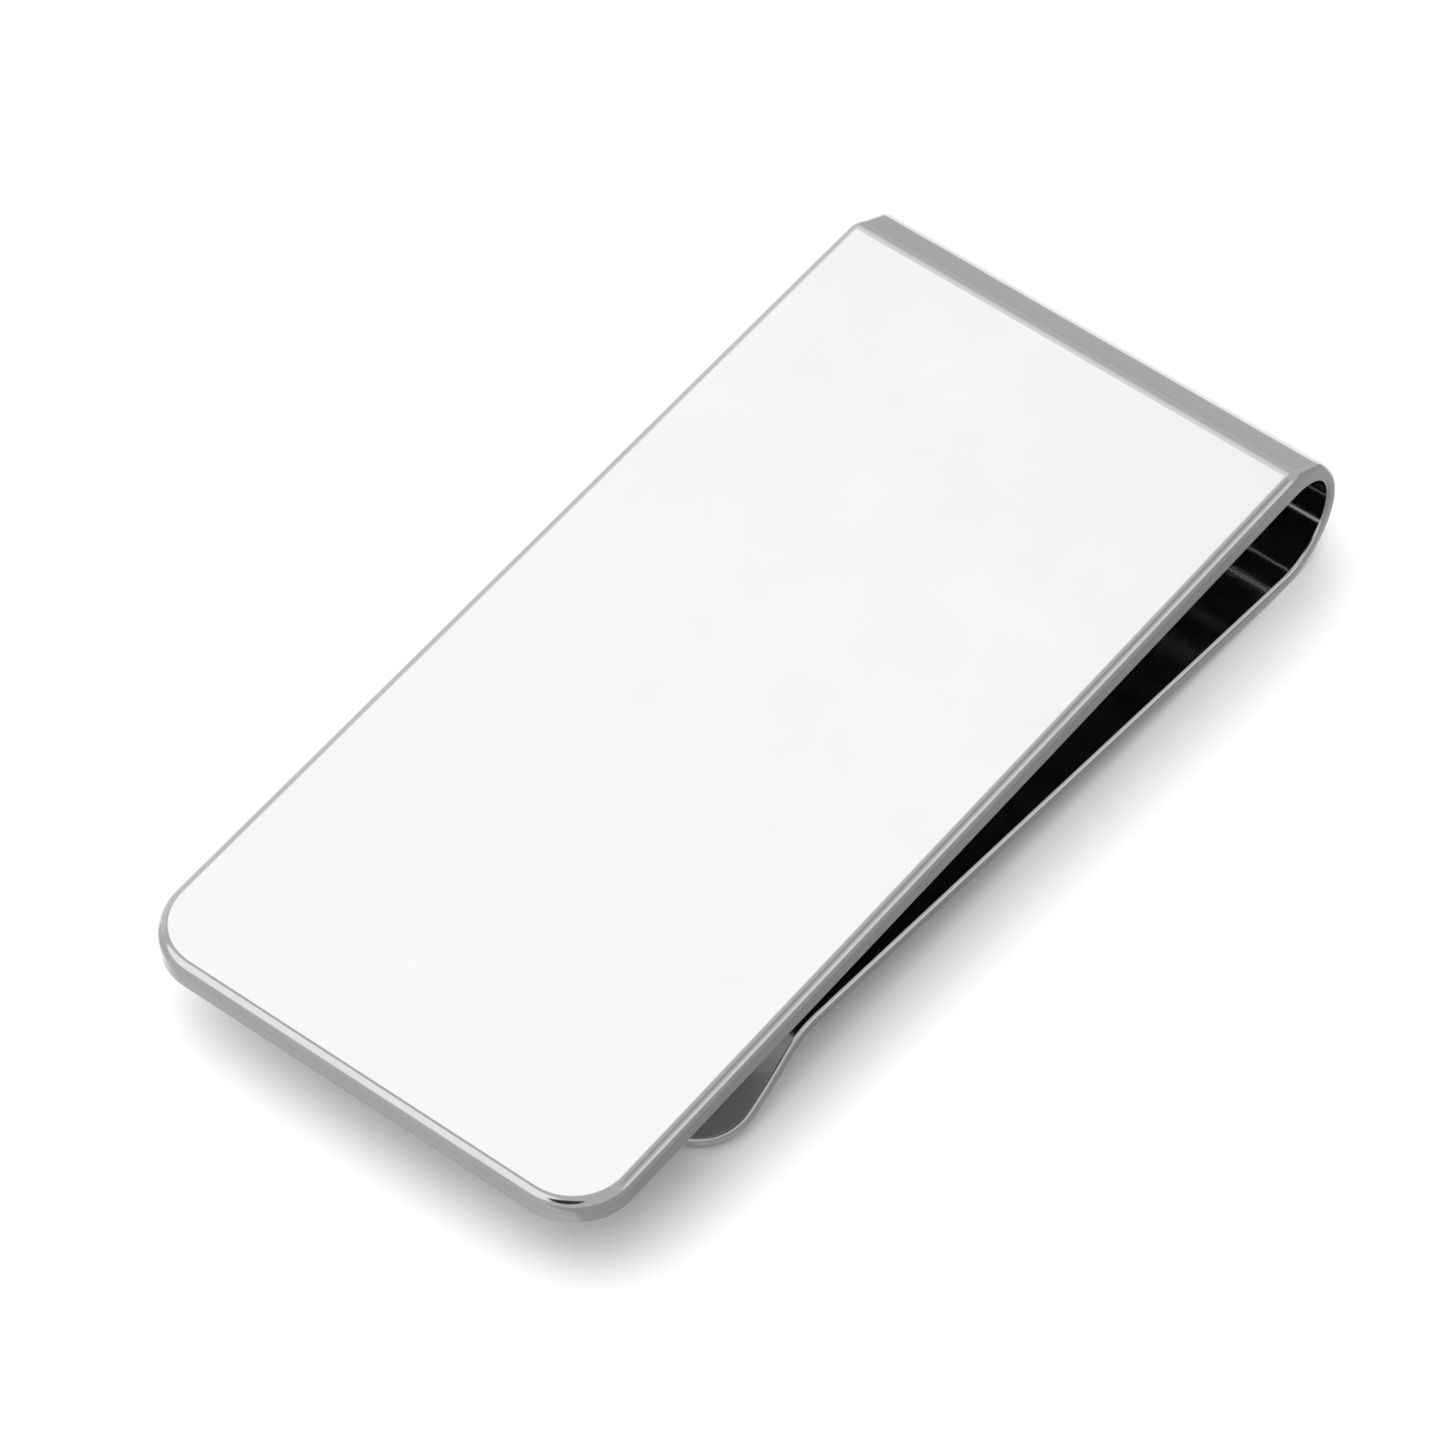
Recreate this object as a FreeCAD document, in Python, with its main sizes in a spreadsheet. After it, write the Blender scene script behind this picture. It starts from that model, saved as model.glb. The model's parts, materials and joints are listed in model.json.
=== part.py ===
import FreeCAD, Part
import os
from math import asin, atan2, cos, degrees, hypot, radians, sin

import Sketcher

# Spring money clip.
#
# A face plate is soldered on top of a flat spring strip. The strip runs under the plate as the
# front leaf, turns through the bend and comes back underneath as the back leaf, which rises to
# a crest close under the front leaf and then flares down and away as a round-cornered lip.
#
# Every side outline is drawn in the plate's own frame: X runs from the free end to the bend,
# Z is up and the plate's top is at Z = 0. At the end all the pieces are tilted and moved
# together, so that the clip lies on the table (Z = 0) as it does when it is put down: on the
# underside of the bend and on the edge of the lip.

SIZES = [
    ("clip_width", 25.4, "overall width, 1 inch"),
    ("plate_thickness", 0.7, "face plate"),
    ("solder_thickness", 0.05, "solder between the face plate and the strip"),
    ("strip_thickness", 0.75, "spring strip, the same from end to end"),
    ("corner_radius", 3.1, "free corners of the face plate and the front leaf"),
    ("plate_edge_round", 0.5, "rounding of the face plate's upper edge"),
    ("strip_edge_round", 0.2, "rounding of the strip's four long edges"),
    ("solder_inset", 0.25, "how far the solder stops short of the edges"),
    ("bend_centre", 51.85, "free end to the centre of the bend"),
    ("bend_radius", 2.8, "inside of the bend"),
    ("bend_span", 150.0, "degrees of the bend that flex, from its top"),
    ("tail_angle", 30.0, "slope of the face plate's tail, where it blends into the bend"),
    ("tail_thickness", 0.12, "face plate at the very end of its tail"),
    ("shoulder_radius", 1.8, "roll-over from the flat face to the tail"),
    ("crest_distance", 15.6, "free end to the crest of the back leaf"),
    ("crest_gap", 0.75, "front leaf to the crest"),
    ("crest_radius", 2.8, "upper side of the crest"),
    ("lip_slope", 36.5, "steepest slope of the lip"),
    ("lip_radius", 16.0, "upper side of the flare, down to the lip's edge"),
    ("lip_end", 8.8, "free end to the edge of the lip"),
    ("lip_corner_radius", 2.8, "corners of the lip"),
]

# Sketcher's numbers: the sketch's origin point, its vertical axis, and the points of a piece.
ORIGIN = (-1, 1)
VERTICAL_AXIS = -2
START, END, CENTRE = 1, 2, 3

# Lengths that differ by less than this, in mm, are taken as equal.
CLOSE = 1e-3


def fill_sheet(doc):
    """The driving dimensions, one row each: name, value and what it measures."""
    sheet = doc.addObject("Spreadsheet::Sheet", "Sizes")
    for row, (alias, value, meaning) in enumerate(SIZES, start=1):
        sheet.set(f"A{row}", alias)
        sheet.set(f"B{row}", str(value))
        sheet.set(f"C{row}", meaning)
        sheet.setAlias(f"B{row}", alias)
    doc.recompute()
    return sheet


def polar(centre, radius, angle):
    """The point at a radius and an angle in degrees from a centre."""
    turn = radians(angle)
    return centre + FreeCAD.Vector(radius * cos(turn), radius * sin(turn), 0)


class Outline:
    """A closed sketch of lines and arcs, drawn end to end in the order they are added."""

    def __init__(self, body, name, plane):
        self.sketch = body.newObject("Sketcher::SketchObject", name)
        origin_plane = [f for f in body.Origin.OriginFeatures if f.Role == plane][0]
        self.sketch.AttachmentSupport = [(origin_plane, "")]
        self.sketch.MapMode = "FlatFace"
        self.pieces = []

    def line(self, start, end):
        index = self.sketch.addGeometry(Part.LineSegment(start, end), False)
        self.pieces.append((index, START, END))
        return index

    def arc(self, centre, radius, from_angle, to_angle):
        """An arc drawn from one angle to the other, clockwise if the second is smaller."""
        low, high = sorted((radians(from_angle), radians(to_angle)))
        circle = Part.Circle(centre, FreeCAD.Vector(0, 0, 1), radius)
        index = self.sketch.addGeometry(Part.ArcOfCircle(circle, low, high), False)
        ends = (START, END) if to_angle > from_angle else (END, START)
        self.pieces.append((index, *ends))
        return index

    def guide(self, start, end):
        return self.sketch.addGeometry(Part.LineSegment(start, end), True)

    def join(self, smooth):
        """Join each piece to the next: tangent where the pair is in smooth, else end to end."""
        for place, (first, _, leaving) in enumerate(self.pieces):
            second, entering, _ = self.pieces[(place + 1) % len(self.pieces)]
            kind = "Tangent" if (first, second) in smooth else "Coincident"
            self.fix(kind, first, leaving, second, entering)

    def fix(self, kind, *where):
        self.sketch.addConstraint(Sketcher.Constraint(kind, *where))

    def size(self, name, kind, *where, value, bound_to):
        """A named dimension, drawn at value and then driven by the sheet."""
        index = self.sketch.addConstraint(Sketcher.Constraint(kind, *where, value))
        self.sketch.renameConstraint(index, name)
        self.sketch.setExpression(f"Constraints.{name}", bound_to)


def pad_across(body, sketch, name, width):
    """Pad a side outline equally to both sides of the clip's middle plane."""
    pad = body.newObject("PartDesign::Pad", name)
    pad.Profile = sketch
    pad.Midplane = True
    pad.setExpression("Length", width)
    body.Document.recompute()
    return pad


def round_edges(body, name, radius, chosen):
    """Fillet the edges of the body's last feature for which chosen(edge) is true."""
    base = body.Tip
    names = [f"Edge{i}" for i, e in enumerate(base.Shape.Edges, start=1) if chosen(e)]
    fillet = body.newObject("PartDesign::Fillet", name)
    fillet.Base = (base, names)
    fillet.setExpression("Radius", radius)
    body.Document.recompute()
    return fillet


def middle(edge):
    return edge.valueAt((edge.FirstParameter + edge.LastParameter) / 2)


def runs_across_thickness(edge, thickness):
    """True for the short edges that join the two skins of a sheet."""
    return abs(edge.Length - thickness) < CLOSE


def on_side(point, sheet):
    return abs(abs(point.y) - sheet.clip_width / 2) < CLOSE


def on_middle_plane(point):
    """True for the middles of edges that run across the clip's whole width."""
    return abs(point.y) < CLOSE


def bend_centre(sheet):
    """The centre of the bend in the plate's frame, as a point of the side sketches."""
    stack = sheet.plate_thickness + sheet.solder_thickness + sheet.strip_thickness
    return FreeCAD.Vector(sheet.bend_centre, -stack - sheet.bend_radius, 0)


def solder_outside(sheet):
    """Radius of the solder's outer side where it follows the bend."""
    return sheet.bend_radius + sheet.strip_thickness + sheet.solder_thickness


def make_face_plate(doc, sheet):
    """The flat plate. Its end tapers to a tail that lies on the start of the bend."""
    body = doc.addObject("PartDesign::Body", "face_plate")
    centre = bend_centre(sheet)
    inside = solder_outside(sheet)
    outside = inside + sheet.tail_thickness
    tail = 90 - sheet.tail_angle
    slope = radians(sheet.tail_angle)
    # The tail is tangent to the circle of its own end and to the shoulder's arc.
    reach = centre.x * sin(slope) + centre.y * cos(slope) + outside
    shoulder_x = (reach - sheet.shoulder_radius * (1 - cos(slope))) / sin(slope)
    shoulder = FreeCAD.Vector(shoulder_x, -sheet.shoulder_radius, 0)
    free_top = FreeCAD.Vector(0, 0, 0)
    free_bottom = FreeCAD.Vector(0, -sheet.plate_thickness, 0)
    bend_top = polar(centre, inside, 90)
    tail_inside = polar(centre, inside, tail)
    tail_outside = polar(centre, outside, tail)
    shoulder_foot = polar(shoulder, sheet.shoulder_radius, tail)
    shoulder_top = polar(shoulder, sheet.shoulder_radius, 90)

    outline = Outline(body, "face_plate_side", "XZ_Plane")
    bottom = outline.line(free_bottom, bend_top)
    hollow = outline.arc(centre, inside, 90, tail)
    tip = outline.line(tail_inside, tail_outside)
    taper = outline.line(tail_outside, shoulder_foot)
    roll = outline.arc(shoulder, sheet.shoulder_radius, tail, 90)
    top = outline.line(shoulder_top, free_top)
    free_end = outline.line(free_top, free_bottom)
    outline.join({(bottom, hollow), (taper, roll), (roll, top)})
    outline.fix("Coincident", free_end, START, *ORIGIN)
    outline.fix("Horizontal", top)
    outline.fix("Vertical", free_end)
    outline.fix("Horizontal", bottom)
    outline.fix("PointOnObject", hollow, CENTRE, tip)
    outline.fix("Perpendicular", tip, taper)
    outline.size("thickness", "DistanceY", free_end, END, free_end, START,
                 value=sheet.plate_thickness, bound_to="Sizes.plate_thickness")
    outline.size("to_bend", "DistanceX", *ORIGIN, hollow, CENTRE,
                 value=centre.x, bound_to="Sizes.bend_centre")
    outline.size("inside", "Radius", hollow, value=inside,
                 bound_to="Sizes.bend_radius + Sizes.strip_thickness + Sizes.solder_thickness")
    outline.size("tail_end", "Distance", tip, value=sheet.tail_thickness,
                 bound_to="Sizes.tail_thickness")
    outline.size("roll_over", "Radius", roll, value=sheet.shoulder_radius,
                 bound_to="Sizes.shoulder_radius")
    outline.size("tail_slope", "Angle", tip, value=radians(tail),
                 bound_to="(90 - Sizes.tail_angle) * 1 deg")

    pad_across(body, outline.sketch, "face_plate_pad", "Sizes.clip_width")

    def free_corner(edge):
        return middle(edge).x < CLOSE and on_side(middle(edge), sheet)

    round_edges(body, "face_plate_corners", "Sizes.corner_radius", free_corner)

    def upper_rim(edge):
        point = middle(edge)
        seam = on_middle_plane(point) and point.x > sheet.corner_radius
        upper = point.z > -sheet.plate_thickness / 2 + CLOSE
        from_centre = hypot(point.x - centre.x, point.z - centre.y)
        along_tail = point.x > centre.x and from_centre > outside - CLOSE
        return not seam and (upper or along_tail)

    round_edges(body, "face_plate_rim", "Sizes.plate_edge_round", upper_rim)
    return body


def make_solder_layer(doc, sheet):
    """The film of solder that holds the plate to the strip, just short of the edges."""
    body = doc.addObject("PartDesign::Body", "solder_layer")
    centre = bend_centre(sheet)
    outside = solder_outside(sheet)
    inside = outside - sheet.solder_thickness
    tail = 90 - sheet.tail_angle
    top = -sheet.plate_thickness
    low = top - sheet.solder_thickness
    inset = sheet.solder_inset

    outline = Outline(body, "solder_side", "XZ_Plane")
    bottom = outline.line(FreeCAD.Vector(inset, low, 0), polar(centre, inside, 90))
    lower_arc = outline.arc(centre, inside, 90, tail)
    tip = outline.line(polar(centre, inside, tail), polar(centre, outside, tail))
    upper_arc = outline.arc(centre, outside, tail, 90)
    upper = outline.line(polar(centre, outside, 90), FreeCAD.Vector(inset, top, 0))
    free_end = outline.line(FreeCAD.Vector(inset, top, 0), FreeCAD.Vector(inset, low, 0))
    outline.join({(bottom, lower_arc), (upper_arc, upper)})
    outline.fix("Coincident", lower_arc, CENTRE, upper_arc, CENTRE)
    outline.fix("Horizontal", upper)
    outline.fix("Horizontal", bottom)
    outline.fix("Vertical", free_end)
    outline.fix("PointOnObject", lower_arc, CENTRE, tip)
    outline.size("inset", "DistanceX", *ORIGIN, free_end, START, value=inset,
                 bound_to="Sizes.solder_inset")
    outline.size("depth", "DistanceY", free_end, START, *ORIGIN, value=-top,
                 bound_to="Sizes.plate_thickness")
    outline.size("to_bend", "DistanceX", *ORIGIN, lower_arc, CENTRE, value=centre.x,
                 bound_to="Sizes.bend_centre")
    outline.size("inside", "Radius", lower_arc, value=inside,
                 bound_to="Sizes.bend_radius + Sizes.strip_thickness")
    outline.size("outside", "Radius", upper_arc, value=outside,
                 bound_to="Sizes.bend_radius + Sizes.strip_thickness + Sizes.solder_thickness")
    outline.size("tail_slope", "Angle", tip, value=radians(tail),
                 bound_to="(90 - Sizes.tail_angle) * 1 deg")

    pad_across(body, outline.sketch, "solder_pad", "Sizes.clip_width - 2 * Sizes.solder_inset")

    def free_corner(edge):
        point = middle(edge)
        return point.x < inset + CLOSE and not on_middle_plane(point)

    round_edges(body, "solder_corners", "Sizes.corner_radius - Sizes.solder_inset", free_corner)
    return body


def make_front_leaf(doc, sheet):
    """The strip's flat front, under the face plate and to the same outline."""
    body = doc.addObject("PartDesign::Body", "front_leaf")
    top = -sheet.plate_thickness - sheet.solder_thickness
    low = top - sheet.strip_thickness
    end = sheet.bend_centre

    outline = Outline(body, "front_leaf_side", "XZ_Plane")
    bottom = outline.line(FreeCAD.Vector(0, low, 0), FreeCAD.Vector(end, low, 0))
    bend_end = outline.line(FreeCAD.Vector(end, low, 0), FreeCAD.Vector(end, top, 0))
    upper = outline.line(FreeCAD.Vector(end, top, 0), FreeCAD.Vector(0, top, 0))
    free_end = outline.line(FreeCAD.Vector(0, top, 0), FreeCAD.Vector(0, low, 0))
    outline.join(set())
    outline.fix("Horizontal", bottom)
    outline.fix("Vertical", bend_end)
    outline.fix("Horizontal", upper)
    outline.fix("PointOnObject", free_end, START, VERTICAL_AXIS)
    outline.fix("Vertical", free_end)
    outline.size("depth", "DistanceY", free_end, START, *ORIGIN, value=-top,
                 bound_to="Sizes.plate_thickness + Sizes.solder_thickness")
    outline.size("thickness", "DistanceY", free_end, END, free_end, START,
                 value=sheet.strip_thickness, bound_to="Sizes.strip_thickness")
    outline.size("to_bend", "DistanceX", bottom, START, bottom, END, value=end,
                 bound_to="Sizes.bend_centre")

    pad_across(body, outline.sketch, "front_leaf_pad", "Sizes.clip_width")

    def free_corner(edge):
        return middle(edge).x < CLOSE and on_side(middle(edge), sheet)

    round_edges(body, "front_leaf_corners", "Sizes.corner_radius", free_corner)

    def rim(edge):
        thick = runs_across_thickness(edge, sheet.strip_thickness)
        return not thick and middle(edge).x < end - CLOSE

    round_edges(body, "front_leaf_rim", "Sizes.strip_edge_round", rim)
    return body


def make_spring_bend(doc, sheet):
    """The part of the strip's bend that flexes when the clip opens."""
    body = doc.addObject("PartDesign::Body", "spring_bend")
    centre = bend_centre(sheet)
    inside = sheet.bend_radius
    outside = inside + sheet.strip_thickness
    last = 90 - sheet.bend_span

    outline = Outline(body, "spring_bend_side", "XZ_Plane")
    outer = outline.arc(centre, outside, 90, last)
    lower_end = outline.line(polar(centre, outside, last), polar(centre, inside, last))
    inner = outline.arc(centre, inside, last, 90)
    upper_end = outline.line(polar(centre, inside, 90), polar(centre, outside, 90))
    outline.join(set())
    outline.fix("Coincident", inner, CENTRE, outer, CENTRE)
    outline.fix("PointOnObject", inner, CENTRE, upper_end)
    outline.fix("PointOnObject", inner, CENTRE, lower_end)
    outline.fix("Vertical", upper_end)
    outline.size("to_bend", "DistanceX", *ORIGIN, inner, CENTRE, value=centre.x,
                 bound_to="Sizes.bend_centre")
    outline.size("depth", "DistanceY", upper_end, END, *ORIGIN,
                 value=sheet.plate_thickness + sheet.solder_thickness,
                 bound_to="Sizes.plate_thickness + Sizes.solder_thickness")
    outline.size("inside", "Radius", inner, value=inside, bound_to="Sizes.bend_radius")
    outline.size("outside", "Radius", outer, value=outside,
                 bound_to="Sizes.bend_radius + Sizes.strip_thickness")
    outline.size("span", "Angle", outer, value=radians(sheet.bend_span),
                 bound_to="Sizes.bend_span * 1 deg")

    pad_across(body, outline.sketch, "spring_bend_pad", "Sizes.clip_width")

    def rim(edge):
        thick = runs_across_thickness(edge, sheet.strip_thickness)
        return not thick and on_side(middle(edge), sheet)

    round_edges(body, "spring_bend_rim", "Sizes.strip_edge_round", rim)
    return body


def back_leaf_points(sheet):
    """Centres and slopes of the back leaf's arcs, in the plate's frame."""
    centre = bend_centre(sheet)
    underside = centre.y + sheet.bend_radius
    crest = FreeCAD.Vector(sheet.crest_distance,
                           underside - sheet.crest_gap - sheet.crest_radius, 0)
    # The straight run is tangent to the inside of the bend and to the crest.
    across = centre - crest
    slope = asin((sheet.crest_radius + sheet.bend_radius) / hypot(across.x, across.y))
    leaf_slope = degrees(slope - atan2(across.y, across.x))
    flare = polar(crest, sheet.crest_radius + sheet.lip_radius, 90 + sheet.lip_slope)
    end_slope = degrees(asin((sheet.lip_end - flare.x) / sheet.lip_radius))
    return centre, crest, flare, leaf_slope, end_slope


def make_back_leaf(doc, sheet):
    """The rest of the bend, the straight run, the crest and the flared lip."""
    body = doc.addObject("PartDesign::Body", "back_leaf")
    thickness = sheet.strip_thickness
    centre, crest, flare, leaf_slope, end_slope = back_leaf_points(sheet)
    first = 90 - sheet.bend_span
    leaf = -90 - leaf_slope
    crest_right = 90 - leaf_slope
    crest_left = 90 + sheet.lip_slope
    flare_start = -90 + sheet.lip_slope
    flare_end = -90 + end_slope
    bend_in, bend_out = sheet.bend_radius, sheet.bend_radius + thickness
    crest_up, crest_down = sheet.crest_radius, sheet.crest_radius - thickness
    flare_up, flare_down = sheet.lip_radius, sheet.lip_radius + thickness

    outline = Outline(body, "back_leaf_side", "XZ_Plane")
    inner_bend = outline.arc(centre, bend_in, first, leaf)
    upper_run = outline.line(polar(centre, bend_in, leaf), polar(crest, crest_up, crest_right))
    upper_crest = outline.arc(crest, crest_up, crest_right, crest_left)
    upper_flare = outline.arc(flare, flare_up, flare_start, flare_end)
    lip_edge = outline.line(polar(flare, flare_up, flare_end),
                            polar(flare, flare_down, flare_end))
    lower_flare = outline.arc(flare, flare_down, flare_end, flare_start)
    lower_crest = outline.arc(crest, crest_down, crest_left, crest_right)
    lower_run = outline.line(polar(crest, crest_down, crest_right),
                             polar(centre, bend_out, leaf))
    outer_bend = outline.arc(centre, bend_out, leaf, first)
    start = outline.line(polar(centre, bend_out, first), polar(centre, bend_in, first))
    slope_guide = outline.guide(crest, flare)
    start_guide = outline.guide(centre, polar(centre, bend_in, first))
    outline.join({(inner_bend, upper_run), (upper_run, upper_crest),
                  (upper_crest, upper_flare), (lower_flare, lower_crest),
                  (lower_crest, lower_run), (lower_run, outer_bend)})
    for lower, upper in ((outer_bend, inner_bend), (lower_crest, upper_crest),
                         (lower_flare, upper_flare)):
        outline.fix("Coincident", lower, CENTRE, upper, CENTRE)
    outline.fix("Coincident", slope_guide, START, upper_crest, CENTRE)
    outline.fix("Coincident", slope_guide, END, upper_flare, CENTRE)
    outline.fix("Coincident", start_guide, START, inner_bend, CENTRE)
    outline.fix("Coincident", start_guide, END, inner_bend, END)
    outline.fix("PointOnObject", inner_bend, CENTRE, start)
    outline.fix("PointOnObject", upper_flare, CENTRE, lip_edge)
    depth = "Sizes.plate_thickness + Sizes.solder_thickness + Sizes.strip_thickness"
    outline.size("to_bend", "DistanceX", *ORIGIN, inner_bend, CENTRE, value=centre.x,
                 bound_to="Sizes.bend_centre")
    outline.size("bend_depth", "DistanceY", inner_bend, CENTRE, *ORIGIN, value=-centre.y,
                 bound_to=depth + " + Sizes.bend_radius")
    outline.size("bend_inside", "Radius", inner_bend, value=bend_in,
                 bound_to="Sizes.bend_radius")
    outline.size("bend_outside", "Radius", outer_bend, value=bend_out,
                 bound_to="Sizes.bend_radius + Sizes.strip_thickness")
    outline.size("bend_start", "Angle", start_guide, value=radians(first),
                 bound_to="(90 - Sizes.bend_span) * 1 deg")
    outline.size("to_crest", "DistanceX", *ORIGIN, upper_crest, CENTRE, value=crest.x,
                 bound_to="Sizes.crest_distance")
    outline.size("crest_depth", "DistanceY", upper_crest, CENTRE, *ORIGIN, value=-crest.y,
                 bound_to=depth + " + Sizes.crest_gap + Sizes.crest_radius")
    outline.size("crest_up", "Radius", upper_crest, value=crest_up,
                 bound_to="Sizes.crest_radius")
    outline.size("lip_slope", "Angle", slope_guide, value=radians(crest_left),
                 bound_to="(90 + Sizes.lip_slope) * 1 deg")
    outline.size("flare_up", "Radius", upper_flare, value=flare_up,
                 bound_to="Sizes.lip_radius")
    outline.size("flare_down", "Radius", lower_flare, value=flare_down,
                 bound_to="Sizes.lip_radius + Sizes.strip_thickness")
    outline.size("lip_end", "DistanceX", *ORIGIN, upper_flare, START, value=sheet.lip_end,
                 bound_to="Sizes.lip_end")

    pad_across(body, outline.sketch, "back_leaf_pad", "Sizes.clip_width")

    def lip_corner(edge):
        point = middle(edge)
        thick = runs_across_thickness(edge, thickness)
        return thick and point.x < sheet.crest_distance and on_side(point, sheet)

    round_edges(body, "back_leaf_corners", "Sizes.lip_corner_radius", lip_corner)

    def rim(edge):
        point = middle(edge)
        seam = on_middle_plane(point) and point.x > sheet.lip_end + thickness
        return not seam and not runs_across_thickness(edge, thickness)

    round_edges(body, "back_leaf_rim", "Sizes.strip_edge_round", rim)
    return body


def table_tilt(sheet):
    """Degrees the plate's frame turns about Y to lie on the bend and on the lip's edge."""
    centre, _, flare, _, end_slope = back_leaf_points(sheet)
    heel = sheet.bend_radius + sheet.strip_thickness
    round_radius = sheet.strip_edge_round
    angle = -90 + end_slope
    lip = polar(flare, sheet.lip_radius + sheet.strip_thickness - round_radius, angle)
    lip = lip + polar(FreeCAD.Vector(0, 0, 0), round_radius, angle + 90)
    across = centre - lip
    length = hypot(across.x, across.y)
    return degrees(atan2(across.y, across.x) - asin((heel - round_radius) / length))


def lay_on_table(bodies, sheet):
    """Tilt every piece alike, then put the bottom centre of the whole clip at the origin."""
    turn = FreeCAD.Rotation(FreeCAD.Vector(0, 1, 0), table_tilt(sheet))
    for body in bodies:
        body.Placement = FreeCAD.Placement(FreeCAD.Vector(0, 0, 0), turn)
    bodies[0].Document.recompute()
    box = Part.makeCompound([body.Shape for body in bodies]).optimalBoundingBox(False)
    shift = FreeCAD.Vector(-(box.XMin + box.XMax) / 2, 0, -box.ZMin)
    for body in bodies:
        body.Placement = FreeCAD.Placement(shift, turn)
    bodies[0].Document.recompute()


def check_document(doc, bodies):
    """Stop if any object failed or any piece isn't one valid solid."""
    for item in doc.Objects:
        if "Invalid" in item.State or "Error" in item.State:
            raise RuntimeError(f"{item.Name} failed: {item.State}")
    for body in bodies:
        shape = body.Shape
        if shape.isNull() or not shape.isValid() or len(shape.Solids) != 1:
            raise RuntimeError(f"{body.Label} isn't one valid solid")


def main():
    doc = FreeCAD.newDocument("money_clip")
    sheet = fill_sheet(doc)
    makers = (make_face_plate, make_solder_layer, make_front_leaf, make_spring_bend,
              make_back_leaf)
    bodies = [make(doc, sheet) for make in makers]
    lay_on_table(bodies, sheet)
    check_document(doc, bodies)
    os.makedirs("parts", exist_ok=True)
    for body in bodies:
        body.Shape.exportStep(f"parts/{body.Label}.step")
        print(body.Label, round(body.Shape.Volume, 2), body.Shape.optimalBoundingBox(False))
    centre = bend_centre(sheet)
    turn = bodies[0].Placement
    print("tilt", round(table_tilt(sheet), 3))
    print("bend centre", turn.multVec(FreeCAD.Vector(centre.x, 0, centre.y)))


main()
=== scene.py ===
import json
from math import asin, atan2, cos, degrees, hypot, radians, sin, sqrt

import bmesh
import bpy
from mathutils import Matrix, Vector


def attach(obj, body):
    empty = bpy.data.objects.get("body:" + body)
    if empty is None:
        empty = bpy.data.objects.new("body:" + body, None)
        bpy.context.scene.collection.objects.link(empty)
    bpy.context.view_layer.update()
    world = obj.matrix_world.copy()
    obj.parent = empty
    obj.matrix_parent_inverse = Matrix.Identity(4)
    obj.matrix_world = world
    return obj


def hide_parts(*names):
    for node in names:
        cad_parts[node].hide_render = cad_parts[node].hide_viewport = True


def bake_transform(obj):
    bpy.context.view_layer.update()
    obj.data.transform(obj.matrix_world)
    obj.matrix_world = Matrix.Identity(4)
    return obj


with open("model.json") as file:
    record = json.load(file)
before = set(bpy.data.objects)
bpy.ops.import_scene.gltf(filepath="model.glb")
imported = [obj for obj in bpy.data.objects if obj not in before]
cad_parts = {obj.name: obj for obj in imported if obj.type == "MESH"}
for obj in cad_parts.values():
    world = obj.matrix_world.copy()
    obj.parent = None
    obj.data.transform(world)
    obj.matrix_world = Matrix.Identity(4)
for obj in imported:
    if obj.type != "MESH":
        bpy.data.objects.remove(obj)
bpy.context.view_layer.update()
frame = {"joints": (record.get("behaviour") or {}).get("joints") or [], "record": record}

# Polished spring money clip.
#
# Every shape is drawn in the flat face's own frame: X from the free end to the bend, Z up and
# the face at Z = 0. The strip's inner side, which faces the notes, is the line that all the
# layers follow. A place on the clip is a distance along that line, a height above it and a
# distance across the width. The face plate, the solder and the strip are layers between two
# heights, and share the soft rounding of their outer edges, as they do once polished together.

MM = 0.001
UP = Vector(frame["record"]["mounts"][0]["axis"]).normalized()
ALONG = Vector((UP.z, 0, -UP.x))
ACROSS = Vector((0, 1, 0))
HINGE = Vector(frame["joints"][0]["pos_m"])

# Sizes in mm and angles in degrees.
WIDTH = 25.4
STRIP = 0.75                 # spring strip
SOLDER = 0.05
PLATE = 0.70                 # face plate
STACK = STRIP + SOLDER + PLATE
TAIL_TIP = 0.12              # face plate at the end of its tail
BEND_X = 51.85               # free end to the centre of the bend
BEND_RADIUS = 2.8            # inside of the bend
BEND_Z = -STACK - BEND_RADIUS
CORNER = 3.1                 # free corners
LIP_CORNER = 2.8
SHOULDER = 1.8               # radius of the roll-over from the flat face to the tail
TAIL_ANGLE = 30.0            # between the flat face and the tail
FILLET_ANGLE = 62.0          # where the solder at the tail's end fades out
CREST_X = 15.6               # free end to the crest of the back leaf
CREST_GAP = 0.75             # crest to the front
CREST_RADIUS = 2.8
LIP_SLOPE = 36.5             # of the lip where it leaves the crest
LIP_RADIUS = 16.0            # of the lip, which levels out towards its edge
LIP_END = 8.8                # free end to the lip's edge
OUTER_ROUND = 0.5            # soft outer edges of the front
ROUND_FADE = 120             # degrees past the tail over which those edges sharpen
STRIP_ROUND = 0.2            # all the other long edges
SUPPORT = 0.03               # a row this close to an edge keeps the flat beside it flat
KNIFE = 0.004                # thinnest that a layer gets
SHARP = 40                   # edges that turn more than this many degrees are shaded as sharp


def place(x, y, z):
    """A point of the face's frame, in mm, as a point of the row frame, in metres."""
    from_hinge = ALONG * (x - BEND_X) + ACROSS * y + UP * (z - BEND_Z)
    return HINGE + from_hinge * MM


# The strip's inner side, as straight stretches and arcs ------------------------------------

def crest_to_bend():
    """Run and rise from the centre of the crest's arc to the centre of the bend."""
    return BEND_X - CREST_X, BEND_Z - (-STACK - CREST_GAP - CREST_RADIUS)


def leaf_slope():
    """Degrees between the two leaves: the back one is tangent to the bend and to the crest."""
    run, rise = crest_to_bend()
    return degrees(asin((CREST_RADIUS + BEND_RADIUS) / hypot(run, rise)) - atan2(rise, run))


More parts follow.
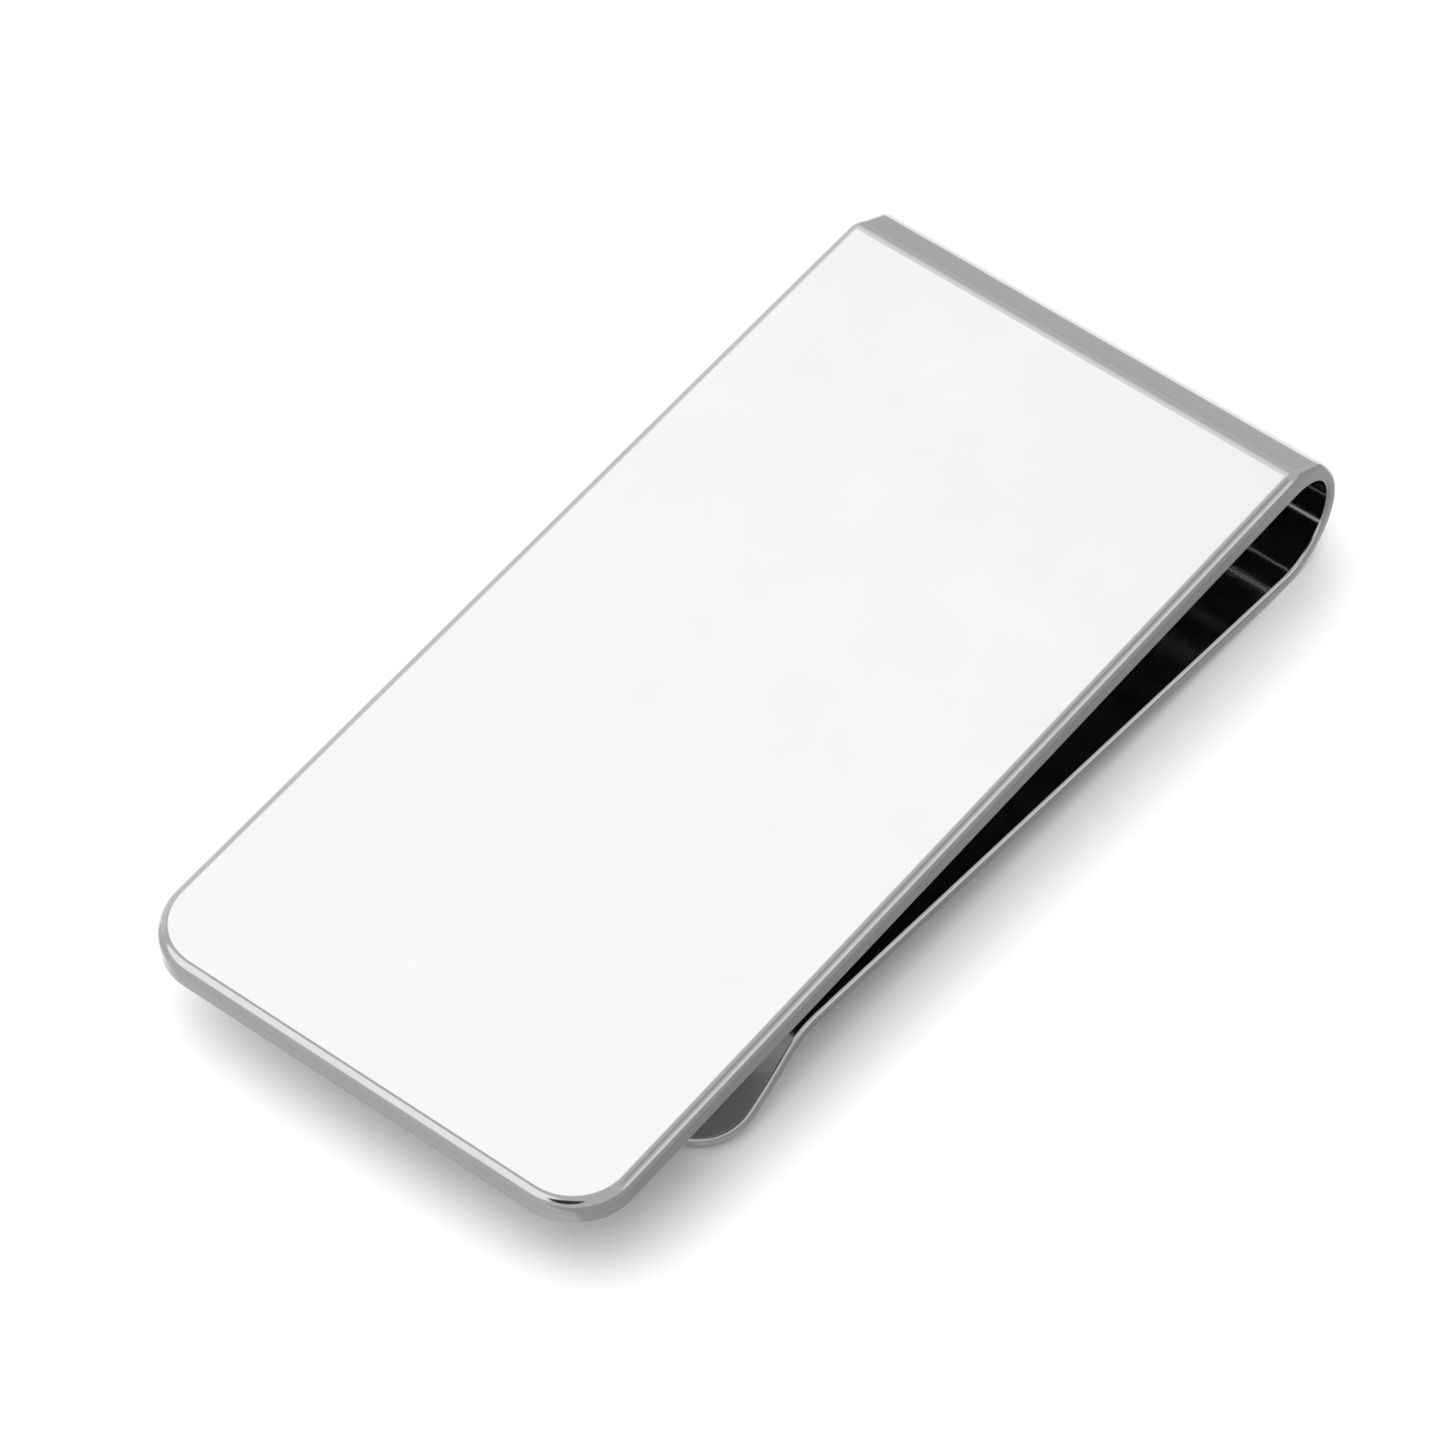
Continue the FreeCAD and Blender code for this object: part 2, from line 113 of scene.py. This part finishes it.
def leaf_length():
    """Length of the back leaf's straight stretch, between the bend and the crest."""
    run, rise = crest_to_bend()
    return sqrt(run ** 2 + rise ** 2 - (CREST_RADIUS + BEND_RADIUS) ** 2)


def end_slope():
    """Slope in degrees of the flare at the lip's edge."""
    flare_x = CREST_X - (CREST_RADIUS + LIP_RADIUS) * sin(radians(LIP_SLOPE))
    return degrees(asin((LIP_END - flare_x) / LIP_RADIUS))


class Line:
    """A chain of straight stretches and arcs, read by the distance along it."""

    def __init__(self, x, z, heading):
        self.spans = []
        self.length = 0.0
        self.end = (x, z, heading)

    def add(self, length, turn=0.0):
        """Carry the line on over a length, turning by so many degrees."""
        self.spans.append((self.length, length, turn, self.end))
        self.length += length
        self.end = self.at(self.length)

    def arc(self, radius, turn):
        """Carry the line on round an arc."""
        self.add(radius * radians(abs(turn)), turn)

    def at(self, distance):
        """x, z and heading in degrees at a distance along the line."""
        for start, length, turn, (x, z, heading) in self.spans:
            if distance <= start + length or start + length >= self.length:
                break
        along = distance - start
        if not turn:
            a = radians(heading)
            return x + along * cos(a), z + along * sin(a), heading
        radius = length / radians(abs(turn))
        side = 1 if turn > 0 else -1
        turned = heading + turn * along / length
        a, b = radians(heading), radians(turned)
        return (x + side * radius * (sin(b) - sin(a)), z - side * radius * (cos(b) - cos(a)),
                turned)

    def stations(self, step_mm, step_deg):
        """Distances at which the line is cut, without its own end.

        A straight span also has a row close to each of its ends, which keeps it flat.
        """
        cuts = []
        for start, length, turn, _ in self.spans:
            parts = max(1, round(abs(turn) / step_deg) if turn else round(length / step_mm))
            cuts += [start + length * i / parts for i in range(parts)]
            if not turn:
                cuts += [start + SUPPORT, start + length - SUPPORT]
        return sorted(set(cuts))


INNER = Line(0, -STACK, 0)
INNER.add(BEND_X)
INNER.arc(BEND_RADIUS, -180 - leaf_slope())
INNER.add(leaf_length())
INNER.arc(CREST_RADIUS, leaf_slope() + LIP_SLOPE)
INNER.arc(LIP_RADIUS, end_slope() - LIP_SLOPE)


def bend_distance(angle):
    """Distance along the inner side to a place on the bend, in degrees from its top."""
    return BEND_X + BEND_RADIUS * radians(angle)


def surface(distance, height, y):
    """A place on the clip as a point of the row frame, in metres."""
    x, z, heading = INNER.at(distance)
    a = radians(heading)
    return place(x - height * sin(a), y, z + height * cos(a))


# Heights of the outside and of its rounding ------------------------------------------------

# The tail's flat touches a circle of radius TAIL_FAR round the bend's centre, at TAIL_ANGLE from
# its top. The shoulder's arc starts at SHOULDER_X and meets that flat SHOULDER_END degrees round.
TAIL_FAR = BEND_RADIUS + STRIP + SOLDER + TAIL_TIP
SLOPE = radians(TAIL_ANGLE)
SHOULDER_X = (BEND_X * sin(SLOPE) + BEND_Z * cos(SLOPE) + TAIL_FAR
              - SHOULDER * (1 - cos(SLOPE))) / sin(SLOPE)
SHOULDER_END = degrees(atan2(SHOULDER_X + SHOULDER * sin(SLOPE) - BEND_X,
                             -SHOULDER * (1 - cos(SLOPE)) - BEND_Z))


def ease(t):
    """A smooth step from 0 to 1."""
    t = min(max(t, 0.0), 1.0)
    return t * t * (3 - 2 * t)


def outside(distance):
    """Height of the clip's outside above the strip's inner side."""
    if distance <= SHOULDER_X:
        return STACK
    if distance <= BEND_X:
        return STACK - SHOULDER + sqrt(SHOULDER ** 2 - (distance - SHOULDER_X) ** 2)
    angle = degrees((distance - BEND_X) / BEND_RADIUS)
    if angle < SHOULDER_END:
        # A ray from the bend's centre to the shoulder's arc.
        dx, dz = SHOULDER_X - BEND_X, -SHOULDER - BEND_Z
        a = radians(angle)
        reach = dx * sin(a) + dz * cos(a)
        return reach + sqrt(reach ** 2 - dx ** 2 - dz ** 2 + SHOULDER ** 2) - BEND_RADIUS
    if angle <= TAIL_ANGLE:
        return TAIL_FAR / cos(radians(TAIL_ANGLE - angle)) - BEND_RADIUS
    fade = ease((angle - TAIL_ANGLE) / (FILLET_ANGLE - TAIL_ANGLE))
    return STRIP + (SOLDER + TAIL_TIP) * (1 - fade)


def outer_round(distance):
    """Radius of the outer edges, large on the front and smaller past the bend."""
    past = (distance - bend_distance(TAIL_ANGLE)) / (BEND_RADIUS * radians(ROUND_FADE))
    return OUTER_ROUND + (STRIP_ROUND - OUTER_ROUND) * ease(past)


def inset(distance, height):
    """How far the side lies inside the full width at a height."""
    radius = outer_round(distance)
    depth = outside(distance) - height
    top = radius - sqrt(max(0.0, radius ** 2 - max(0.0, radius - depth) ** 2))
    low = STRIP_ROUND - sqrt(STRIP_ROUND ** 2 - max(0.0, STRIP_ROUND - height) ** 2)
    return max(top, low)


# Meshes ------------------------------------------------------------------------------------

ROUND_STEPS = 12             # steps in a quarter of an edge's rounding
CORNER_STEPS = 18            # steps in a rounded corner
COLUMNS = 12                 # steps across the width
ROW_STEP = 3.0               # mm between the rows of a straight stretch
STRIP_TURN = 2.5             # degrees between the strip's rows on an arc
SOLDER_TURN = 3.0            # the same for the solder, in front of the tail's end
FADE_TURN = 2                # the same for the solder, past the tail's end
FLAT_END = 1                 # the plate's flat has no row nearer to the shoulder, in mm
SHOULDER_STEPS = 20          # steps in the shoulder's arc
TAIL_START = 1               # degrees from the shoulder's end to the tail's first row
TAIL_TURNS = (12, 18, 24)    # the tail's other rows, in degrees round the bend
SOLDER_STEPS = 4             # steps in the solder's thickness
LAST_CUT = 0.2               # the solder has no row nearer before the tail's end, in mm


def corner_rows():
    """(fraction along, fraction across) of each row of a rounded corner, from the end edge."""
    turns = [radians(90) * i / CORNER_STEPS for i in range(CORNER_STEPS + 1)]
    return [(1 - cos(a), sin(a)) for a in turns]


def layer_rows(cuts, end_corner):
    """The rows of a layer: one at each cut that is clear of the rounded corners, and theirs.

    Each row is "cut" with its distance and 0, or "start" or "end" with a corner's fractions.
    """
    rows = [("start", *row) for row in corner_rows()]
    inner_cuts = [c for c in cuts if c > CORNER + SUPPORT]
    if end_corner:
        inner_cuts = [c for c in inner_cuts if c < cuts[-1] - end_corner - SUPPORT]
    rows += [("cut", c, 0) for c in inner_cuts]
    if end_corner:
        rows += [("end", *row) for row in reversed(corner_rows())]
    return rows


def closed_piece(name, verts, faces):
    """A piece in the scene, with its normals outwards and its sharp edges marked."""
    mesh = bpy.data.meshes.new(name)
    mesh.from_pydata([tuple(v) for v in verts], [], faces)
    turned = bmesh.new()
    turned.from_mesh(mesh)
    bmesh.ops.recalc_face_normals(turned, faces=turned.faces)
    for edge in turned.edges:
        edge.smooth = edge.calc_face_angle() < radians(SHARP)
    turned.to_mesh(mesh)
    turned.free()
    mesh.polygons.foreach_set("use_smooth", [True] * len(mesh.polygons))
    mesh.update()
    piece = bpy.data.objects.new(name, mesh)
    bpy.context.scene.collection.objects.link(piece)
    return piece


def sheet(name, cuts, levels, end_corner=0):
    """A closed layer of the clip, from the free end to the last cut.

    cuts are the distances of its rows. levels are functions that give a height at a distance,
    from the top down; each makes one ring round the layer. end_corner is the radius of the
    corners at the last cut.
    """
    rows = layer_rows(cuts, end_corner)
    verts, faces = [], []

    def edge_point(row, level, extra):
        """Distance along, half width and height of a row's end on a ring."""
        kind, along, across = row
        if kind == "cut":
            height = level(along)
            return along, WIDTH / 2 - inset(along, height) - extra, height
        corner = CORNER if kind == "start" else end_corner
        base = 0.0 if kind == "start" else cuts[-1]
        height = level(base)
        inwards = inset(base, height) + extra
        radius = corner - inwards
        reach = inwards + radius * along
        distance = base + reach if kind == "start" else base - reach
        return distance, WIDTH / 2 - corner + radius * across, height

    def add_vert(distance, height, y):
        verts.append(surface(distance, height, y))
        return len(verts) - 1

    def add_side(sign, level, extra):
        """The ends of all the rows on one side of a ring."""
        ids = []
        for row in rows:
            distance, half, height = edge_point(row, level, extra)
            ids.append(add_vert(distance, height, sign * half))
        return ids

    def add_middle(row, level, extra):
        """The points of a row between its two ends."""
        distance, half, height = edge_point(row, level, extra)
        return [add_vert(distance, height, half * (2 * i / COLUMNS - 1))
                for i in range(1, COLUMNS)]

    # The first and last rings lie just inside the edges, and keep the faces beside them flat.
    rings = [(levels[0], SUPPORT)] + [(level, 0.0) for level in levels] + [(levels[-1], SUPPORT)]
    parts = []
    for ring in rings:
        left = add_side(-1, *ring)
        right = add_side(1, *ring)
        near = add_middle(rows[0], *ring)
        far = add_middle(rows[-1], *ring)
        parts.append((left, near, right, far))

    loops = [left[::-1] + near + right + far[::-1] for left, near, right, far in parts]
    for upper, lower in zip(loops, loops[1:]):
        for i, corner_id in enumerate(upper):
            j = (i + 1) % len(upper)
            faces.append((corner_id, lower[i], lower[j], upper[j]))

    for index, flip in ((0, False), (-1, True)):
        left, near, right, far = parts[index]
        middles = [near] + [add_middle(row, *rings[index]) for row in rows[1:-1]] + [far]
        grid = [[left[k]] + middle + [right[k]] for k, middle in enumerate(middles)]
        for a, b in zip(grid, grid[1:]):
            for i in range(COLUMNS):
                face = (a[i], a[i + 1], b[i + 1], b[i])
                faces.append(face if flip else face[::-1])
    return closed_piece(name, verts, faces)


def even(height):
    """A level at the same height all along."""
    return lambda distance: height


def between(top, bottom, fraction):
    """The level that lies a fraction of the way down from one level to another."""
    return lambda distance: top(distance) + (bottom(distance) - top(distance)) * fraction


def rounding_fractions(depth, radius):
    """Fractions of a depth at which a rounding of that radius is cut, from the top down."""
    turns = [radians(90) * i / ROUND_STEPS for i in range(ROUND_STEPS + 1)]
    return [radius * (1 - cos(a)) / depth for a in turns]


def build_plate():
    """The face plate, with its shoulder and its tail."""
    shoulder_length = bend_distance(SHOULDER_END) - SHOULDER_X
    cuts = [c for c in INNER.stations(ROW_STEP, STRIP_TURN) if c < SHOULDER_X - FLAT_END]
    cuts.append(SHOULDER_X - SUPPORT)
    cuts += [SHOULDER_X + shoulder_length * i / SHOULDER_STEPS
             for i in range(SHOULDER_STEPS + 1)]
    cuts += [bend_distance(a) for a in (SHOULDER_END + TAIL_START, *TAIL_TURNS, TAIL_ANGLE)]
    fractions = rounding_fractions(PLATE, OUTER_ROUND) + [1 - SUPPORT / PLATE, 1.0]
    levels = [between(outside, even(STRIP + SOLDER), f) for f in fractions]
    return sheet("polished_face_plate", cuts, levels)


def build_solder():
    """The solder under the plate, which fades out on the strip past the end of the tail."""
    tip = bend_distance(TAIL_ANGLE)
    cuts = [c for c in INNER.stations(ROW_STEP, SOLDER_TURN) if c < tip - LAST_CUT]
    cuts += [tip, tip + SUPPORT]
    cuts += [bend_distance(a)
             for a in range(int(TAIL_ANGLE) + FADE_TURN, int(FILLET_ANGLE) + 1, FADE_TURN)]

    def top(distance):
        if distance <= tip:
            return STRIP + SOLDER
        return max(outside(distance), STRIP + KNIFE)

    levels = [between(top, even(STRIP), i / SOLDER_STEPS) for i in range(SOLDER_STEPS + 1)]
    return sheet("solder_seam", cuts, levels)


def build_strip():
    """The whole spring strip, from the free end round the bend to the lip."""
    cuts = INNER.stations(ROW_STEP, STRIP_TURN) + [INNER.length]
    outer = [STRIP - f * STRIP for f in rounding_fractions(STRIP, OUTER_ROUND)]
    turns = [radians(90) * i / ROUND_STEPS for i in range(ROUND_STEPS + 1)]
    inner = [STRIP_ROUND * (1 - sin(a)) for a in turns]
    return sheet("spring_strip", cuts, [even(h) for h in outer + inner], LIP_CORNER)


# Materials ---------------------------------------------------------------------------------

CLOUD_SCALE = 180                        # per metre
CLOUD_DETAIL = 4
CLOUD_RANGE = (0.3, 0.7)                 # of the noise, from the darkest to the lightest metal
LINE_SCALE = (400, 14000, 14000)         # per metre, so the lines run along the clip
LINE_DETAIL = 3
LINE_DEPTH = 0.000002                    # metres
GRAIN_SCALE = 900                        # per metre, on the floor
FLOOR_ROUGHNESS = 0.9

# Each metal: its darkest and lightest colour, its least and most roughness, and how strongly
# the polishing lines show.
PLATE_METAL = ((0.6, 0.6, 0.605), (0.616, 0.616, 0.621), (0.08, 0.13), 0.15)
SOLDER_METAL = ((0.56, 0.56, 0.565), (0.6, 0.6, 0.6), (0.10, 0.18), 0.2)
STRIP_METAL = ((0.64, 0.64, 0.645), (0.67, 0.67, 0.675), (0.09, 0.15), 0.2)


def polished_metal(name, dark, light, roughness, line_strength):
    """Polished metal: a little cloudiness, and very fine lines left by the polishing wheel."""
    material = bpy.data.materials.new(name)
    material.use_nodes = True
    nodes, links = material.node_tree.nodes, material.node_tree.links
    shader = nodes["Principled BSDF"]
    shader.inputs["Metallic"].default_value = 1.0
    place_node = nodes.new("ShaderNodeTexCoord")

    cloud = nodes.new("ShaderNodeTexNoise")
    cloud.inputs["Scale"].default_value = CLOUD_SCALE
    cloud.inputs["Detail"].default_value = CLOUD_DETAIL
    links.new(place_node.outputs["Object"], cloud.inputs["Vector"])

    colour = nodes.new("ShaderNodeValToRGB")
    for element, level, shade in zip(colour.color_ramp.elements, CLOUD_RANGE, (dark, light)):
        element.position = level
        element.color = (*shade, 1)
    links.new(cloud.outputs["Fac"], colour.inputs["Fac"])
    links.new(colour.outputs["Color"], shader.inputs["Base Color"])

    stretch = nodes.new("ShaderNodeMapping")
    stretch.inputs["Scale"].default_value = LINE_SCALE
    links.new(place_node.outputs["Object"], stretch.inputs["Vector"])
    lines = nodes.new("ShaderNodeTexNoise")
    lines.inputs["Scale"].default_value = 1
    lines.inputs["Detail"].default_value = LINE_DETAIL
    links.new(stretch.outputs["Vector"], lines.inputs["Vector"])

    rough = nodes.new("ShaderNodeMapRange")
    rough.inputs["To Min"].default_value = roughness[0]
    rough.inputs["To Max"].default_value = roughness[1]
    links.new(lines.outputs["Fac"], rough.inputs["Value"])
    links.new(rough.outputs["Result"], shader.inputs["Roughness"])

    bump = nodes.new("ShaderNodeBump")
    bump.inputs["Strength"].default_value = line_strength
    bump.inputs["Distance"].default_value = LINE_DEPTH
    links.new(lines.outputs["Fac"], bump.inputs["Height"])
    links.new(bump.outputs["Normal"], shader.inputs["Normal"])
    return material


def floor_material(name, low, high):
    """Matt floor whose grey varies a little, between two levels."""
    material = bpy.data.materials.new(name)
    material.use_nodes = True
    nodes, links = material.node_tree.nodes, material.node_tree.links
    shader = nodes["Principled BSDF"]
    shader.inputs["Roughness"].default_value = FLOOR_ROUGHNESS
    shader.inputs["Specular IOR Level"].default_value = 0.0
    place_node = nodes.new("ShaderNodeTexCoord")
    grain = nodes.new("ShaderNodeTexNoise")
    grain.inputs["Scale"].default_value = GRAIN_SCALE
    links.new(place_node.outputs["Object"], grain.inputs["Vector"])
    colour = nodes.new("ShaderNodeValToRGB")
    colour.color_ramp.elements[0].color = (low, low, low, 1)
    colour.color_ramp.elements[1].color = (high, high, high, 1)
    links.new(grain.outputs["Fac"], colour.inputs["Fac"])
    links.new(colour.outputs["Color"], shader.inputs["Base Color"])
    return material


# Studio ------------------------------------------------------------------------------------

CAMERA_AZIMUTH = -53.57                  # degrees, as are the next two
CAMERA_ELEVATION = 50.40
CAMERA_ROLL = 1.88
CAMERA_DISTANCE = 0.35093                # metres
CAMERA_LENS = 195.5                      # mm, as is the next one
CAMERA_SENSOR = 36
CAMERA_CLIP = (0.01, 20)
CAMERA_TARGET = Vector((-0.97, 0.80, 3.66)) * MM

FLOOR_HALF = 1.5                         # metres
WHITE_FLOOR = (0.89, 0.91)               # darkest and lightest grey
MIRRORED_FLOOR = (0.84, 0.86)
MIRRORED_HEIGHT = 0.05 * MM              # above the white floor

KEY_WAY = Vector((-0.20, 0.13, 0.97)).normalized()
KEY_DISTANCE = 0.4                       # metres, as is the next one
KEY_SIZE = 0.55
KEY_POWER = 2.0


def make_camera():
    """A camera that sees the clip from where the photo was taken."""
    azimuth, elevation = radians(CAMERA_AZIMUTH), radians(CAMERA_ELEVATION)
    back = Vector((sin(azimuth) * cos(elevation), -cos(azimuth) * cos(elevation), sin(elevation)))
    camera = bpy.data.objects.new("camera", bpy.data.cameras.new("camera"))
    bpy.context.scene.collection.objects.link(camera)
    turn = (-back).to_track_quat("-Z", "Y").to_matrix().to_4x4()
    roll = Matrix.Rotation(radians(CAMERA_ROLL), 4, "Z")
    camera.matrix_world = (Matrix.Translation(CAMERA_TARGET + back * CAMERA_DISTANCE)
                           @ turn @ roll)
    camera.data.lens = CAMERA_LENS
    camera.data.sensor_width = CAMERA_SENSOR
    camera.data.clip_start, camera.data.clip_end = CAMERA_CLIP
    bpy.context.scene.camera = camera


def make_plane(name, height, material):
    """A level square of the stage, centred on the clip."""
    square = [(x * FLOOR_HALF, y * FLOOR_HALF, height)
              for x, y in ((-1, -1), (1, -1), (1, 1), (-1, 1))]
    mesh = bpy.data.meshes.new(name)
    mesh.from_pydata(square, [], [(0, 1, 2, 3)])
    plane = bpy.data.objects.new(name, mesh)
    plane.data.materials.append(material)
    bpy.context.scene.collection.objects.link(plane)
    return plane


# Painted shade on the floor that only the metal mirrors, so the metal shows darker reflections
# there: the axis that it fades along, where it is full and where it ends, in mm, and the
# brightness that it leaves. The darkest shade counts.
MIRROR_FLOOR_SHADE = (
    ("X", -29.5, -25.0, 0.48),                # in front of the free end
    ("Y", -14.5, -11.0, 0.34),                # on the right
    ("X", 120.0, 60.0, 0.52),                 # beyond the bend
)


def paint_mirror_floor_shade(material):
    """Dim a floor's colour where the painted shade lies."""
    nodes, links = material.node_tree.nodes, material.node_tree.links
    colour = nodes["Principled BSDF"].inputs["Base Color"]
    parts = nodes.new("ShaderNodeSeparateXYZ")
    links.new(nodes["Texture Coordinate"].outputs["Object"], parts.inputs["Vector"])
    level = None
    for axis, full, end, dimmed in MIRROR_FLOOR_SHADE:
        fade = nodes.new("ShaderNodeMapRange")
        fade.interpolation_type = "SMOOTHSTEP"
        fade.inputs["From Min"].default_value = full * MM
        fade.inputs["From Max"].default_value = end * MM
        fade.inputs["To Min"].default_value = dimmed
        links.new(parts.outputs[axis], fade.inputs["Value"])
        if level is None:
            level = fade.outputs["Result"]
            continue
        darkest = nodes.new("ShaderNodeMath")
        darkest.operation = "MINIMUM"
        links.new(level, darkest.inputs[0])
        links.new(fade.outputs["Result"], darkest.inputs[1])
        level = darkest.outputs["Value"]
    dim = nodes.new("ShaderNodeVectorMath")
    dim.operation = "SCALE"
    links.new(colour.links[0].from_socket, dim.inputs[0])
    links.new(level, dim.inputs["Scale"])
    links.new(dim.outputs["Vector"], colour)


def make_floor():
    """The white floor, and the one that the metal mirrors in its place, with shade painted on it.
    """
    floor = make_plane("floor", 0.0, floor_material("white_floor", *WHITE_FLOOR))
    floor.visible_glossy = False
    shade_painted_floor = floor_material("shade_painted_mirror_floor", *MIRRORED_FLOOR)
    # Painted shade: dims the mirrored floor in front of the free end, on the right and beyond the
    # bend.
    paint_mirror_floor_shade(shade_painted_floor)
    mirrored = make_plane("mirrored_floor", MIRRORED_HEIGHT, shade_painted_floor)
    mirrored.visible_camera = False
    mirrored.visible_diffuse = False
    mirrored.visible_shadow = False


# Each patch of the tent: the way to it, how far its even middle and its soft rim reach, in
# degrees from there, and its brightness. Later patches lie over earlier ones, and TENT_BASE is
# the brightness where there is none.
TENT_BASE = 0.66
TENT = (
    ((-0.60, 0.38, 0.70), 28, 33, 1.25),      # wide diffuser over the free end
    ((0.38, 0.88, 0.20), 28, 38, 0.85),       # white card on the left
    ((0.48, -0.85, 0.22), 6, 20, 1.0),        # white card on the right
    ((0.47, -0.42, 0.78), 3, 14, 0.42),       # gap beside it
    ((-0.60, -0.25, 0.76), 15, 21, 0.05),     # dark gap round the camera
    ((0.60, 0.37, 0.71), 0, 24, 1.08),        # glow round the softbox, over the bend
    ((0.45, 0.38, 0.81), 1, 9, 1.52),         # softbox that the flat face mirrors
    ((0.36, 0.40, 0.84), 1, 9, 1.56),         # its brightest part
    ((0.57, 0.37, 0.735), 1.5, 4, 1.6),       # its bright rim, mirrored where the bend starts
)


def make_tent():
    """The light tent round the clip: soft patches of light on grey walls."""
    world = bpy.data.worlds.new("light_tent")
    bpy.context.scene.world = world
    world.use_nodes = True
    nodes, links = world.node_tree.nodes, world.node_tree.links
    background = nodes["Background"]
    background.inputs["Color"].default_value = (1, 1, 1, 1)
    direction = nodes.new("ShaderNodeTexCoord").outputs["Generated"]
    level = None
    for way, middle, rim, brightness in TENT:
        dot = nodes.new("ShaderNodeVectorMath")
        dot.operation = "DOT_PRODUCT"
        dot.inputs[1].default_value = Vector(way).normalized()
        links.new(direction, dot.inputs[0])
        cover = nodes.new("ShaderNodeMapRange")
        cover.interpolation_type = "SMOOTHSTEP"
        cover.inputs["From Min"].default_value = cos(radians(rim))
        cover.inputs["From Max"].default_value = cos(radians(middle))
        links.new(dot.outputs["Value"], cover.inputs["Value"])
        mix = nodes.new("ShaderNodeMix")
        mix.data_type = "FLOAT"
        mix.inputs["A"].default_value = TENT_BASE
        mix.inputs["B"].default_value = brightness
        links.new(cover.outputs["Result"], mix.inputs["Factor"])
        if level is not None:
            links.new(level, mix.inputs["A"])
        level = mix.outputs["Result"]
    links.new(level, background.inputs["Strength"])


def make_key():
    """A softbox above the clip, which casts the shadow and which the metal doesn't mirror."""
    light = bpy.data.lights.new("key", "AREA")
    light.shape = "SQUARE"
    light.size = KEY_SIZE
    light.energy = KEY_POWER
    lamp = bpy.data.objects.new("key", light)
    lamp.location = KEY_WAY * KEY_DISTANCE
    lamp.rotation_mode = "QUATERNION"
    lamp.rotation_quaternion = (-KEY_WAY).to_track_quat("-Z", "Y")
    lamp.visible_glossy = False
    bpy.context.scene.collection.objects.link(lamp)


def main():
    plate = build_plate()
    solder = build_solder()
    strip = build_strip()

    plate.data.materials.append(polished_metal("polished_plate", *PLATE_METAL))
    solder.data.materials.append(polished_metal("solder", *SOLDER_METAL))
    strip.data.materials.append(polished_metal("polished_strip", *STRIP_METAL))

    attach(plate, "front")
    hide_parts("face_plate")
    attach(solder, "front")
    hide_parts("solder_layer")
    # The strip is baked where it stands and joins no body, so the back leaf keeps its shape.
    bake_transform(strip)
    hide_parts("front_leaf", "spring_bend", "back_leaf")

    make_camera()
    make_floor()
    make_tent()
    make_key()
    bpy.context.scene.view_settings.view_transform = "Standard"


main()
